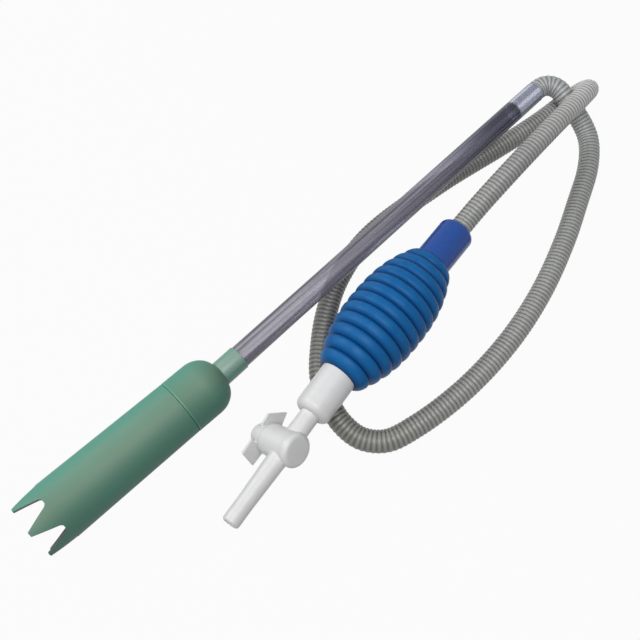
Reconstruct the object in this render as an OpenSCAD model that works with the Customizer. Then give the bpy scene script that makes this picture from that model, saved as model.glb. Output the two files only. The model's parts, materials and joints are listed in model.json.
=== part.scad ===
// Gravel vacuum siphon, as it lies on a table: a toothed gravel tube and its cap on a clear
// riser tube, a corrugated hose looped back to a hand priming bulb, and a stopcock outlet.
// Millimetres. +X runs along the riser from the toothed mouth to the hose end, +Z is up,
// and the origin is on the table under the middle of the rigid parts.

/* [Gravel tube] */
// Outer diameter behind the teeth
mouth_d = 40.6; // [39:0.2:44]
// Outer diameter at the seam with the cap
seam_d = 38.8; // [38.4:0.2:40]
// Bore of the gravel tube
gravel_bore_d = 35.6; // [33:0.2:36]
// Length from the tooth tips to the seam
tube_len = 114; // [90:1:130]
// Number of teeth round the mouth
teeth = 6; // [4:1:8]
// Length of a tooth
tooth_len = 17; // [10:0.5:22]
// Width of the flat on a tooth's tip
tooth_tip = 3.4; // [2:0.1:6]
// Depth of the relief round the outside of the teeth
tooth_relief = 0.25; // [0:0.05:0.4]

/* [Nozzle cap] */
// Length of the straight skirt above the seam
skirt_len = 18; // [12:1:24]
// Height of the domed shoulder
dome_h = 15.5; // [14:0.5:25]
// Wall of the cap
cap_wall = 1.8; // [1.5:0.1:2.2]
// Outer diameter of the neck
neck_d = 17.2; // [17:0.1:19]
// Length of the neck above the dome
neck_len = 17; // [10:1:25]

/* [Riser tube] */
// Outer diameter of the clear riser
riser_d = 16; // [15:0.5:16]
// Bore of the riser
riser_bore_d = 13.6; // [13:0.1:14]
// Length of the riser from its stop in the neck
riser_len = 328.5; // [250:0.5:400]
// Length of the hose cuff pushed into the riser
cuff_len = 25; // [15:1:40]

/* [Hose] */
// Outer diameter of the corrugated hose
hose_d = 15.5; // [12:0.5:15.5]

/* [Priming bulb] */
// Length of the bulb between its end faces
bulb_len = 105.6; // [90:0.2:130]
// Largest diameter over the rings
bulb_d = 56; // [46:0.2:60]
// Diameter of the bulb at its ends
bulb_end_d = 31.5; // [31:0.5:38]
// Number of moulded rings
bulb_rings = 12; // [8:1:16]
// Depth of the grooves between the rings
groove_depth = 1.5; // [0.5:0.1:2]
// Wall of the bulb under the grooves
bulb_wall = 2.2; // [1.5:0.1:2.5]

/* [Collars and valves] */
// Outer diameter of the inlet collar
inlet_d = 26; // [24:0.5:27]
// Length of the inlet collar outside the bulb
inlet_len = 34; // [30:1:45]
// Outer diameter of the outlet collar
outlet_d = 24.8; // [23.6:0.2:26]
// Length of the outlet collar outside the bulb
outlet_len = 32; // [28:0.5:40]
// Diameter of the valve chamber in each collar
chamber_d = 19; // [18:0.5:20]
// Diameter of the valve discs
disc_d = 14.4; // [13:0.2:15]

/* [Stopcock] */
// Distance from the bulb to the plug axis
plug_z = 57; // [54:1:70]
// Distance from the bulb to the spigot tip
tip_z = 115; // [100:0.5:130]
// Turn of the plug axis out of the table plane, in degrees
stopcock_roll = 32; // [0:1:45]
// Bore of the barrel for the plug
plug_bore_d = 14.12; // [14.1:0.02:14.2]
// Diameter of the plug
plug_d = 14; // [13.96:0.02:14]
// Diameter of the straight land on the spigot
spigot_d = 11.6; // [11:0.1:13]
// Water way through the spigot
spigot_bore_d = 8; // [6:0.2:9]
// Diameter of the front cap
front_cap_d = 22.6; // [21.8:0.2:24]
// Width of the lever bar
lever_w = 13.4; // [10:0.2:14]
// Thickness of the lever bar
lever_t = 3.2; // [2:0.2:4]
// Reach of the lever towards the bulb
lever_long = 22; // [18:0.5:24]
// Reach of the lever towards the tip
lever_short = 18.5; // [14:0.5:18.5]

/* [Hidden] */
$fn = 64;

// Clearances of a push fit and of a running fit
push_gap = 0.05;
run_gap = 0.06;
cut = 1;

// Where the riser's stop and the bulb's middle lie, and how the straight runs point
riser_foot = [-91.5, 29.4, 22.37];
riser_pitch = 0.9;
riser_yaw = 0.74;
bulb_pos = [13, -20.13, 28.4];
bulb_yaw = 7.77;

// How far two push fits sit out of line: the nozzle on the riser, and the outlet in the bulb
nozzle_lean = 2.24;
outlet_lean = 2.9;

// Gravel tube and cap
mouth_r = mouth_d / 2;
seam_r = seam_d / 2;
gravel_bore_r = gravel_bore_d / 2;
tooth_phase = 23;
notch_root_w = 5.4;
notch_corner = 0.9;
notch_w = 2 * mouth_r * sin(180 / teeth) - tooth_tip;
relief_land = 0.5;
relief_run = 2;
lap_r = seam_r - 0.7;
lap_len = 6;
skirt_r = seam_r + 0.1;
dome_z = tube_len + skirt_len;
dome_c = 6;
neck_r = neck_d / 2;
neck_lip = 0.7;
neck_root = 3;
floor_edge = 1;
riser_r = riser_d / 2;
riser_bore_r = riser_bore_d / 2;
riser_stop = dome_z + dome_h;
cuff_r = riser_bore_r - push_gap;
cuff_bore_r = 5.3;

// Hose route from the riser end, over the back strand, round the bulb and up into the inlet collar
hose_route = [
    [237.4, 33.63, 27.53], [239.4, 33.66, 27.56], [242.2, 33.6, 27.7], [246.7, 32.2, 28.1],
    [250.5, 28.6, 28.2], [252.4, 22.8, 27.7], [252.4, 15, 25.2], [252.2, 6, 20.3], [251.4, -7, 13],
    [247.7, -16.5, 9], [239.2, -25, 7.8], [222, -36, 7.8], [196, -47.5, 7.8], [160, -62.5, 7.8],
    [115, -77, 7.8], [70, -85.5, 7.8], [22, -87.4, 7.8], [-21, -82.2, 7.8], [-43.2, -75, 7.8],
    [-53.4, -62.4, 7.8], [-55, -46, 7.8], [-50.7, -30, 7.8], [-42, -13.7, 7.8], [-25.8, 2.2, 7.8],
    [-6, 17.3, 7.8], [20, 31, 7.8], [60, 40.4, 7.8], [130, 35.9, 7.8], [190, 26.2, 7.8],
    [219, 21.7, 7.8], [240, 19.4, 7.8], [256.5, 18, 8.5], [265.2, 15.7, 12.1], [269.4, 10.4, 21.5],
    [265.8, 4.9, 31], [256.2, 2.5, 36.2], [240, 0.7, 38.9], [212, -1.6, 41.4], [168, -4.1, 39.3],
    [124, -6.1, 31.9], [104, -7.75, 28.6], [84.2, -10.42, 28.4]
];
hose_steps = 2;
hose_sides = 10;

// Bulb and collars, measured along the bulb axis from its middle
bulb_half = bulb_len / 2;
bulb_end_r = bulb_end_d / 2;
bulb_power = 2.4;
ring_steps = 8;
mouth_lip = 6.5;
inlet_r = inlet_d / 2;
outlet_r = outlet_d / 2;
chamber_r = chamber_d / 2;
collar_in = 12;
bead_h = 1.3;
bead_len = 2.8;
bead_gap = 0.85;
mouth_stock = 1;
inlet_round = 4;
outlet_round = 5;
socket_r = hose_d / 2 + 0.15;
socket_len = 16;
throat_len = 4;
inlet_throat_r = 5.2;
outlet_throat_r = 4.6;
outlet_socket_r = 6.75;
outlet_socket_len = 9.5;
inlet_shoulder = inlet_len - socket_len - throat_len;
outlet_shoulder = outlet_len - outlet_socket_len - throat_len;

// Flap valves, measured along the flow from the face of the seat
seat_t = 3;
seat_lip = 0.4;
seat_hole_r = 4.8;
seat_land = 1.4;
seat_slope = 0.6;
disc_gap = 0.1;
disc_t = 1.6;
disc_r = disc_d / 2;
stem_r = 1.5;
stem_edge = 0.5;
stem_foot_w = 1.5;
stem_foot_h = 0.6;
stem_end = 12;
cage_z = 7.4;
cage_h = 4;
cage_rim = 1.3;
cage_hub_r = 3.2;
cage_spokes = 4;
spoke_w = 1.6;
spoke_h = 3;
outlet_seat = outlet_shoulder - cage_z - cage_h;

// Stopcock, measured along the plug axis from the water way
neck_outer_r = outlet_socket_r - push_gap;
neck_bore_r = 4.2;
plug_r = plug_d / 2;
plug_bore_r = plug_bore_d / 2;
plug_way_r = 3.9;
barrel_rear = -16.5;
barrel_front = 7.2;
barrel_rear_r = 10.6;
barrel_front_r = 10.7;
barrel_edge = 1.6;
barrel_flange_r = 10.9;
counterbore_p = 4.4;
counterbore_r = 8.8;
spigot_r = spigot_d / 2;
spigot_root_r = spigot_r + 1.15;
spigot_land = 16;
spigot_round = 1.8;
clip_gap = 0.1;
clip_t = 1.2;
clip_r = 8.4;
clip_groove_r = 5;
clip_split = 2.4;
plug_nose_r = 5.6;
plug_nose_end = 6.6;
front_cap_end = 10.6;
front_cap_round = 3;
front_cap_rim = 1.2;
front_cap_plug = 1.2;
front_cap_hollow = 0.6;
boss_gap = 0.2;
boss_r = 7.8;
boss_end = -20.5;
boss_sink = 0.5;
knob_r = 7.2;
knob_h = 2.5;
knob_round = 1.6;
o_ring_p = [-12, -7];
o_ring_r = 0.9;
o_ring_mid = plug_r - o_ring_r + 0.02;
lever_nip = 2.5;
lever_slant = 9;
lever_rake = 2;
lever_nose = 2;

// Points of an arc in a revolved outline, as radius and height
function arc(c, r, a0, a1, n = 6) =
    [for (i = [0:n]) let (a = a0 + (a1 - a0) * i / n) [c[0] + r * cos(a), c[1] + r * sin(a)]];

// A quarter of the domed shoulder, with its own radial and axial reach, up to radius r_end
function dome(rx, rz, r_end, n = 10) =
    let (a_end = acos((r_end - dome_c) / rx))
    [for (i = [0:n]) let (a = a_end * i / n) [dome_c + rx * cos(a), dome_z + rz * sin(a)]];

function reverse(v) = [for (i = [len(v) - 1:-1:0]) v[i]];

// Radius over the bulb's rings at distance z from its middle
function bulb_env(z) = bulb_end_r + (bulb_d / 2 - bulb_end_r) * (1 - pow(abs(z) / bulb_half, bulb_power));

// Radius of the bulb's outer surface: broad rounded rings with narrow grooves
function ring_dip(t) = groove_depth * pow(abs(2 * t - 1), 3);

// A smooth curve through the hose route: each span is blended from its four nearest points,
// timed by the square root of their distances so that short and long spans join evenly
last_point = len(hose_route) - 1;
function route_point(i) =
    i < 0 ? 2 * hose_route[0] - hose_route[1] :
    i > last_point ? 2 * hose_route[last_point] - hose_route[last_point - 1] :
    hose_route[i];
function between(a, b, start, end, t) = (a * (end - t) + b * (t - start)) / (end - start);
function span(i, share) =
    let (
        p = [for (k = [-1:2]) route_point(i + k)],
        t1 = sqrt(norm(p[1] - p[0])),
        t2 = t1 + sqrt(norm(p[2] - p[1])),
        t3 = t2 + sqrt(norm(p[3] - p[2])),
        t = t1 + (t2 - t1) * share,
        a = between(p[0], p[1], 0, t1, t),
        b = between(p[1], p[2], t1, t2, t),
        c = between(p[2], p[3], t2, t3, t)
    )
    between(between(a, b, 0, t2, t), between(b, c, t1, t3, t), t1, t2, t);
hose_line = [
    for (i = [0:last_point - 1])
        for (k = [0:hose_steps - 1]) span(i, k / hose_steps),
    hose_route[last_point]
];
function unit(v) = v / norm(v);
function hose_dir(i) = unit(hose_line[min(i + 1, len(hose_line) - 1)] - hose_line[max(i - 1, 0)]);
function hose_ring(i) =
    let (t = hose_dir(i), side = unit(cross([0, 0, 1], t)), up = cross(t, side))
    [for (k = [0:hose_sides - 1])
        let (a = 360 * k / hose_sides)
        hose_line[i] + hose_d / 2 * (cos(a) * side + sin(a) * up)];

// Places a piece on the riser axis, z from the riser's stop in the neck
module riser_line() {
    translate(riser_foot) rotate([0, 90 - riser_pitch, riser_yaw]) children();
}

// Places a piece on the gravel tube's axis, z from the tooth tips
module nozzle_line() {
    riser_line() rotate([nozzle_lean, 0, 0]) translate([0, 0, -riser_stop]) children();
}

// Places a piece on the bulb axis, z from the bulb's middle towards the inlet
module bulb_line() {
    translate(bulb_pos) rotate([0, 0, bulb_yaw]) rotate([0, 90, 0]) children();
}

// Places a piece on the inlet side, z outwards from the bulb's end
module inlet_line() {
    bulb_line() translate([0, 0, bulb_half]) children();
}

// Places a piece on the outlet side, z outwards from the bulb's end
module outlet_line() {
    bulb_line() translate([0, 0, -bulb_half]) rotate([180 - outlet_lean, 0, 0]) children();
}

// Places a piece on the plug axis, z towards the front cap, y towards the bulb
module plug_line() {
    outlet_line() translate([0, 0, plug_z]) rotate([0, 0, stopcock_roll]) rotate([-90, 0, 0]) children();
}

// Places a flap valve so that z is the way the water flows
module inlet_flow() {
    inlet_line() translate([0, 0, inlet_shoulder]) rotate([180, 0, 0]) children();
}
module outlet_flow() {
    outlet_line() translate([0, 0, outlet_seat]) children();
}

// One V cut between two teeth, with a flat root
module tooth_notch() {
    root = notch_root_w / 2;
    flare = notch_w / 2 + cut / 2;
    rotate([90, 0, 90]) linear_extrude(mouth_d) polygon([
        [-flare, -cut], [flare, -cut], [root, tooth_len - notch_corner],
        [root - notch_corner, tooth_len], [notch_corner - root, tooth_len], [-root, tooth_len - notch_corner]
    ]);
}

module gravel_tube() {
    relief_end = tooth_len + relief_land;
    color("seagreen") nozzle_line() rotate([0, 0, tooth_phase]) difference() {
        rotate_extrude() polygon([
            [gravel_bore_r, 0], [mouth_r - tooth_relief, 0], [mouth_r - tooth_relief, relief_end],
            [mouth_r, relief_end + relief_run], [seam_r, tube_len], [lap_r, tube_len],
            [lap_r, tube_len + lap_len], [gravel_bore_r, tube_len + lap_len]
        ]);
        for (i = [0:teeth - 1])
            rotate([0, 0, 360 / teeth * (i + 0.5)]) tooth_notch();
    }
}

module nozzle_cap() {
    inner_r = skirt_r - cap_wall;
    lap_end = tube_len + lap_len + push_gap;
    shell = dome(skirt_r - dome_c, dome_h, dome_c + floor_edge / 2);
    hollow = dome(inner_r - dome_c, dome_h - cap_wall, riser_bore_r + floor_edge);
    color("mediumseagreen") difference() {
        union() {
            nozzle_line() rotate_extrude() polygon(concat(
                [[0, tube_len], [skirt_r, tube_len]], shell, [[0, shell[len(shell) - 1][1]]]
            ));
            riser_line() rotate_extrude() polygon(concat(
                [[0, -neck_root], [neck_r, -neck_root]],
                arc([neck_r - neck_lip, neck_len - neck_lip], neck_lip, 0, 90, 4),
                [[0, neck_len]]
            ));
        }
        nozzle_line() rotate_extrude() polygon(concat(
            [
                [0, tube_len - cut], [lap_r + push_gap, tube_len - cut], [lap_r + push_gap, lap_end],
                [inner_r, lap_end]
            ],
            hollow, [[0, hollow[len(hollow) - 1][1]]]
        ));
        riser_line() cylinder(h = neck_len + cut, r = riser_r + push_gap);
        riser_line() translate([0, 0, -neck_root]) cylinder(h = neck_root + cut, r = riser_bore_r);
    }
}

module riser_tube() {
    color("slategray") riser_line() difference() {
        cylinder(h = riser_len, r = riser_r);
        translate([0, 0, -cut]) cylinder(h = riser_len + 2 * cut, r = riser_bore_r);
    }
}

module hose_cuff() {
    edge = 0.6;
    color("lightsteelblue") riser_line() translate([0, 0, riser_len - cuff_len]) rotate_extrude() polygon([
        [cuff_bore_r, 0], [cuff_r - edge, 0], [cuff_r, edge], [cuff_r, cuff_len], [cuff_bore_r, cuff_len]
    ]);
}

module drain_hose() {
    rings = len(hose_line);
    sides = hose_sides;
    walls = [
        for (i = [0:rings - 2])
            for (k = [0:sides - 1])
                let (a = i * sides + k, b = i * sides + (k + 1) % sides)
                [a, a + sides, b + sides, b]
    ];
    start_cap = [for (k = [0:sides - 1]) k];
    end_cap = [for (k = [sides - 1:-1:0]) (rings - 1) * sides + k];
    color("gray") polyhedron(
        points = [for (i = [0:rings - 1]) each hose_ring(i)],
        faces = concat([start_cap], walls, [end_cap])
    );
}

// Revolved collar, z outwards from the bulb's end: a bead holds it inside the bulb's lip,
// and the bore steps from the valve chamber through a throat to the outer socket
module collar(r, length, round_r, shoulder, throat_r, outer_r, outer_len) {
    rotate_extrude() polygon(concat(
        [
            [chamber_r, -collar_in], [r, -collar_in], [r, -mouth_lip - bead_len],
            [r + bead_h, -mouth_lip - bead_len / 2], [r + bead_h, -mouth_lip - bead_gap],
            [r, -mouth_lip - bead_gap]
        ],
        arc([r - round_r, length - round_r], round_r, 0, 90),
        [
            [outer_r, length], [outer_r, length - outer_len], [throat_r, length - outer_len],
            [throat_r, shoulder], [chamber_r, shoulder]
        ]
    ));
}

module inlet_collar() {
    color("royalblue") inlet_line()
        collar(inlet_r, inlet_len, inlet_round, inlet_shoulder, inlet_throat_r, socket_r, socket_len);
}

module outlet_collar() {
    color("whitesmoke") outlet_line()
        collar(outlet_r, outlet_len, outlet_round, outlet_shoulder, outlet_throat_r, outlet_socket_r,
            outlet_socket_len);
}

module priming_bulb() {
    cavity = bulb_half - mouth_lip;
    steps = bulb_rings * ring_steps;
    outer = [
        for (i = [0:steps])
            let (z = -bulb_half + bulb_len * i / steps, t = (i % ring_steps) / ring_steps)
            [bulb_env(z) - ring_dip(t), z]
    ];
    inner = [
        for (i = [0:bulb_rings])
            let (z = cavity - 2 * cavity * i / bulb_rings)
            [bulb_env(z) - groove_depth - bulb_wall, z]
    ];
    color("steelblue") difference() {
        bulb_line() rotate_extrude() polygon(concat(
            outer,
            [[inlet_r + push_gap, bulb_half], [inlet_r + push_gap, cavity]],
            inner,
            [[outlet_r - mouth_stock, -cavity], [outlet_r - mouth_stock, -bulb_half]]
        ));
        outlet_line() translate([0, 0, -mouth_lip - cut])
            cylinder(h = mouth_lip + 2 * cut, r = outlet_r + push_gap);
    }
}

// Flap valve parts, z along the flow from the upstream face of the seat
module valve_seat() {
    color("gainsboro") rotate_extrude() polygon([
        [seat_hole_r, 0], [chamber_r - push_gap, 0], [chamber_r - push_gap, seat_t - seat_lip],
        [seat_hole_r + seat_land + seat_slope, seat_t - seat_lip], [seat_hole_r + seat_land, seat_t],
        [seat_hole_r, seat_t]
    ]);
}

module valve_disc() {
    disc_z = seat_t + disc_gap;
    color("dimgray") rotate_extrude() polygon([
        [0, disc_z], [disc_r, disc_z], [disc_r, disc_z + disc_t / 2],
        [stem_r + stem_foot_w, disc_z + disc_t], [stem_r, disc_z + disc_t + stem_foot_h],
        [stem_r, stem_end - stem_edge], [stem_r - stem_edge, stem_end], [0, stem_end]
    ]);
}

module valve_cage() {
    rim_r = chamber_r - push_gap;
    hub_bore_r = stem_r + run_gap;
    color("gainsboro") translate([0, 0, cage_z]) difference() {
        union() {
            difference() {
                cylinder(h = cage_h, r = rim_r);
                translate([0, 0, -cut]) cylinder(h = cage_h + 2 * cut, r = rim_r - cage_rim);
            }
            for (i = [0:cage_spokes - 1])
                rotate([0, 0, 360 / cage_spokes * i])
                    translate([0, -spoke_w / 2, 0]) cube([rim_r - cage_rim / 2, spoke_w, spoke_h]);
            cylinder(h = cage_h, r = cage_hub_r);
        }
        translate([0, 0, -cut]) cylinder(h = cage_h + 2 * cut, r = hub_bore_r);
    }
}

module inlet_valve_seat() { inlet_flow() valve_seat(); }
module inlet_valve_disc() { inlet_flow() valve_disc(); }
module inlet_valve_cage() { inlet_flow() valve_cage(); }
module outlet_valve_seat() { outlet_flow() valve_seat(); }
module outlet_valve_disc() { outlet_flow() valve_disc(); }
module outlet_valve_cage() { outlet_flow() valve_cage(); }

module stopcock_body() {
    neck_start = outlet_len - outlet_socket_len + clip_gap;
    edge = barrel_edge;
    color("white") difference() {
        union() {
            outlet_line() translate([0, 0, neck_start]) cylinder(h = plug_z - neck_start, r = neck_outer_r);
            outlet_line() rotate_extrude() polygon(concat(
                [[0, plug_z], [spigot_root_r, plug_z], [spigot_r, tip_z - spigot_land]],
                arc([spigot_r - spigot_round, tip_z - spigot_round], spigot_round, 0, 90),
                [[0, tip_z]]
            ));
            plug_line() rotate_extrude() polygon([
                [0, barrel_rear], [barrel_rear_r - edge, barrel_rear], [barrel_rear_r, barrel_rear + edge],
                [barrel_front_r, counterbore_p], [barrel_flange_r, counterbore_p + edge],
                [barrel_flange_r, barrel_front], [0, barrel_front]
            ]);
        }
        outlet_line() translate([0, 0, neck_start - cut])
            cylinder(h = plug_z - neck_start + cut, r = neck_bore_r);
        outlet_line() translate([0, 0, plug_z]) cylinder(h = tip_z - plug_z + cut, r = spigot_bore_d / 2);
        plug_line() translate([0, 0, barrel_rear - cut])
            cylinder(h = barrel_front - barrel_rear + 2 * cut, r = plug_bore_r);
        plug_line() translate([0, 0, counterbore_p]) cylinder(h = barrel_front, r = counterbore_r);
    }
}

// Outline of the lever bar: x away from the upper edge, y towards the bulb
module lever_bar() {
    half = lever_w / 2;
    linear_extrude(lever_t) polygon([
        [half, -lever_short], [lever_nip - half, lever_rake - lever_short],
        [-half, lever_rake + lever_nip - lever_short],
        [-half, lever_long - lever_slant], [lever_slant - half - lever_nose, lever_long - lever_nose],
        [half - lever_nip, lever_long], [half, lever_long - lever_nose / 2]
    ]);
}

module stopcock_key() {
    groove_r = plug_r - 2 * o_ring_r;
    clip_p = counterbore_p + clip_gap + clip_t;
    knob_end = boss_end - lever_t - knob_h;
    color("white") plug_line() {
        difference() {
            rotate_extrude() polygon(concat(
                [[0, knob_end]],
                arc([knob_r - knob_round, knob_end + knob_round], knob_round, -90, 0),
                [
                    [knob_r, boss_end - boss_sink], [boss_r, boss_end - boss_sink],
                    [boss_r, barrel_rear - boss_gap], [plug_r, barrel_rear - boss_gap]
                ],
                [for (p = o_ring_p) each [
                    [plug_r, p - o_ring_r], [groove_r, p - o_ring_r],
                    [groove_r, p + o_ring_r], [plug_r, p + o_ring_r]
                ]],
                [
                    [plug_r, counterbore_p], [clip_groove_r, counterbore_p],
                    [clip_groove_r, clip_p + clip_gap], [plug_nose_r, clip_p + clip_gap],
                    [plug_nose_r, plug_nose_end], [0, plug_nose_end]
                ]
            ));
            rotate([90, 0, 0]) cylinder(h = 4 * plug_r, r = plug_way_r, center = true);
        }
        translate([0, 0, boss_end - lever_t]) lever_bar();
    }
}

module plug_o_rings() {
    color("black") plug_line()
        for (p = o_ring_p)
            translate([0, 0, p]) rotate_extrude() translate([o_ring_mid, 0]) circle(o_ring_r);
}

module plug_clip() {
    color("silver") plug_line() translate([0, 0, counterbore_p + clip_gap]) difference() {
        cylinder(h = clip_t, r = clip_r);
        translate([0, 0, -cut]) cylinder(h = clip_t + 2 * cut, r = clip_groove_r + push_gap);
        translate([0, -clip_split / 2, -cut]) cube([2 * clip_r, clip_split, clip_t + 2 * cut]);
    }
}

module stopcock_cap() {
    cap_r = front_cap_d / 2;
    rim_r = counterbore_r - push_gap;
    color("white") plug_line() rotate_extrude() polygon(concat(
        [
            [rim_r - front_cap_rim, barrel_front - front_cap_plug], [rim_r, barrel_front - front_cap_plug],
            [rim_r, barrel_front], [cap_r, barrel_front]
        ],
        arc([cap_r - front_cap_round, front_cap_end - front_cap_round], front_cap_round, 0, 90),
        [
            [0, front_cap_end], [0, barrel_front + front_cap_hollow],
            [rim_r - front_cap_rim, barrel_front + front_cap_hollow]
        ]
    ));
}

gravel_tube();
nozzle_cap();
riser_tube();
hose_cuff();
drain_hose();
inlet_collar();
inlet_valve_seat();
inlet_valve_disc();
inlet_valve_cage();
priming_bulb();
outlet_collar();
outlet_valve_seat();
outlet_valve_disc();
outlet_valve_cage();
stopcock_body();
stopcock_key();
plug_o_rings();
plug_clip();
stopcock_cap();
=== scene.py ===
"""Gravel vacuum siphon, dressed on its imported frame. Metres, +Z up, +X along the riser."""
import json
import math

import bpy
from mathutils import Matrix, Vector


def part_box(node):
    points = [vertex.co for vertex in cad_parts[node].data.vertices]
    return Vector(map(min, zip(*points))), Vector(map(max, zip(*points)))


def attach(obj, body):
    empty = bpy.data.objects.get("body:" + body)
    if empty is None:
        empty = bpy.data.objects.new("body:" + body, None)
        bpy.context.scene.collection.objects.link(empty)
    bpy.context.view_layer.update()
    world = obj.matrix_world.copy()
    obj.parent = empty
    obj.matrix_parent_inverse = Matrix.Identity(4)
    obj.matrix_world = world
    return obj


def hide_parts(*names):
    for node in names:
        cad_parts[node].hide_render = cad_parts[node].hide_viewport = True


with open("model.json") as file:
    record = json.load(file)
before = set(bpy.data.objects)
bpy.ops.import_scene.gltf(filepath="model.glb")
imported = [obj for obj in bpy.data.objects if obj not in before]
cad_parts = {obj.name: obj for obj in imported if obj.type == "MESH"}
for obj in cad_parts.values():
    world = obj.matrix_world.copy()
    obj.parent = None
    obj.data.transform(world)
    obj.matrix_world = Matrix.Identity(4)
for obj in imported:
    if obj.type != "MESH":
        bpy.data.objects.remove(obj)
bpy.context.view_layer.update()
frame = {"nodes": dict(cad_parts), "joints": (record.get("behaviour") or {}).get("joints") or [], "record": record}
nodes = frame["nodes"]


# Gravel tube: the wide suction tube, injection moulded in translucent green polystyrene.
# Its mouth is cut into six long teeth that rake the gravel, and the cut faces carry a darker
# painted shade, standing in for how dark the plastic looks seen edge-on there.

def linear(hex_colour):
    """An sRGB hex colour as linear red, green, blue and alpha."""
    parts = [int(hex_colour[i:i + 2], 16) / 255 for i in (1, 3, 5)]
    return [c / 12.92 if c <= 0.04045 else ((c + 0.055) / 1.055) ** 2.4 for c in parts] + [1.0]


def add_node(tree, kind, settings=None, links=None):
    """Adds one shader node, with its settings by name and its inputs linked to other nodes' outputs."""
    made = tree.nodes.new(kind)
    for name, value in (settings or {}).items():
        if isinstance(name, int) or name in made.inputs:
            made.inputs[name].default_value = value
        else:
            setattr(made, name, value)
    for name, output in (links or {}).items():
        tree.links.new(output, made.inputs[name])
    return made


def start_material(name):
    """A new material with an empty node tree."""
    material = bpy.data.materials.new(name)
    material.use_nodes = True
    material.node_tree.nodes.clear()
    return material, material.node_tree


def place_along(axis, origin):
    """The place of a turned piece: its Z along the axis, its X downwards."""
    z = Vector(axis).normalized()
    y = z.cross(Vector((0, 0, -1))).normalized()
    x = y.cross(z)
    place = Matrix((x, y, z)).transposed().to_4x4()
    place.translation = Vector(origin)
    return place


def arc(centre, radius, start, end, steps=6):
    """Points of an arc in a half section, as radius and height, angles in degrees."""
    turns = [math.radians(start + (end - start) * i / steps) for i in range(steps + 1)]
    return [(centre[0] + radius * math.cos(a), centre[1] + radius * math.sin(a)) for a in turns]


def turn(name, outline, steps=96):
    """Draws a half section as a chain of edges, spins it round Z and turns the skin outwards."""
    bpy.ops.object.select_all(action="DESELECT")
    bpy.ops.mesh.primitive_plane_add(size=0.001)
    piece = bpy.context.object
    piece.name = name
    bpy.ops.object.mode_set(mode="EDIT")
    bpy.ops.mesh.select_mode(type="VERT")
    bpy.ops.mesh.select_all(action="SELECT")
    bpy.ops.mesh.merge(type="CENTER")
    bpy.ops.transform.translate(value=(outline[0][0], 0, outline[0][1]))
    for (r_a, z_a), (r_b, z_b) in zip(outline, outline[1:]):
        step = (r_b - r_a, 0, z_b - z_a)
        bpy.ops.mesh.extrude_vertices_move(TRANSFORM_OT_translate={"value": step})
    bpy.ops.mesh.select_all(action="SELECT")
    bpy.ops.mesh.spin(steps=steps, angle=2 * math.pi, center=(0, 0, 0), axis=(0, 0, 1))
    bpy.ops.mesh.select_all(action="SELECT")
    bpy.ops.mesh.remove_doubles(threshold=1e-6)
    bpy.ops.mesh.normals_make_consistent(inside=False)
    bpy.ops.object.mode_set(mode="OBJECT")
    if sum(face.area * face.normal.dot(face.center) for face in piece.data.polygons) < 0:
        bpy.ops.object.mode_set(mode="EDIT")
        bpy.ops.mesh.flip_normals()
        bpy.ops.object.mode_set(mode="OBJECT")
    return piece


def pick(piece):
    """Selects one piece alone and makes it the active one."""
    bpy.ops.object.select_all(action="DESELECT")
    piece.select_set(True)
    bpy.context.view_layer.objects.active = piece


def settle(piece, place, smooth_angle=35):
    """Puts a piece's place into its mesh and shades it smooth up to a crease angle."""
    pick(piece)
    piece.matrix_world = place
    bpy.ops.object.transform_apply(location=True, rotation=True, scale=True)
    bpy.ops.object.shade_smooth_by_angle(angle=math.radians(smooth_angle))


def stand_for(piece, node, body):
    """The piece rides on a body in place of a CAD node, which it hides."""
    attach(piece, body)
    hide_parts(node)


def combine(piece, other, operation):
    """Cuts another closed piece out of this one, or welds it on, and removes the other."""
    boolean = piece.modifiers.new("combine", "BOOLEAN")
    boolean.operation = operation
    boolean.solver = "EXACT"
    boolean.material_mode = "TRANSFER"
    boolean.object = other
    pick(piece)
    bpy.ops.object.modifier_apply(modifier=boolean.name)
    bpy.data.objects.remove(other)


MOUTH_R = 0.0203
SEAM_R = 0.0194
GRAVEL_BORE_R = 0.0178
TUBE_LENGTH = 0.114
TEETH = 6
TOOTH_LENGTH = 0.017
TOOTH_TIP = 0.0034
TOOTH_RELIEF = 0.00025
RELIEF_END = TOOTH_LENGTH + 0.0004
RELIEF_RAMP = 0.0005
TOOTH_PHASE = math.radians(23)
NOTCH_ROOT_W = 0.0054
NOTCH_CORNER = 0.0009
NOTCH_INSET = 0.002
CUTTER_DEPTH = 0.012
BELOW_MOUTH = 0.001
SEAM_CHAMFER = 0.0004
LAP_STEP = 0.0007
LAP_R = SEAM_R - LAP_STEP
LAP_LENGTH = 0.006
FACE_MARGIN = 0.0001
NOZZLE_LEAN = math.radians(2.24)
RISER_LENGTH = 0.3285
RISER_STOP = 0.1475

riser_low, riser_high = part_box("riser_tube")
cuff_low, cuff_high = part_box("hose_cuff")
riser_mid = (riser_low + riser_high) / 2
riser_axis = ((cuff_low + cuff_high) / 2 - riser_mid).normalized()
riser_place = place_along(riser_axis, riser_mid - riser_axis * RISER_LENGTH / 2)
nozzle_place = (riser_place @ Matrix.Rotation(NOZZLE_LEAN, 4, "X")
                @ Matrix.Translation((0, 0, -RISER_STOP)))
nozzle_axis = nozzle_place.to_3x3() @ Vector((0, 0, 1))
nozzle_yaw = math.atan2(nozzle_axis.y, nozzle_axis.x)
nozzle_across = (Matrix.Rotation(-nozzle_yaw, 3, "Z") @ nozzle_place.translation).y


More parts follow.
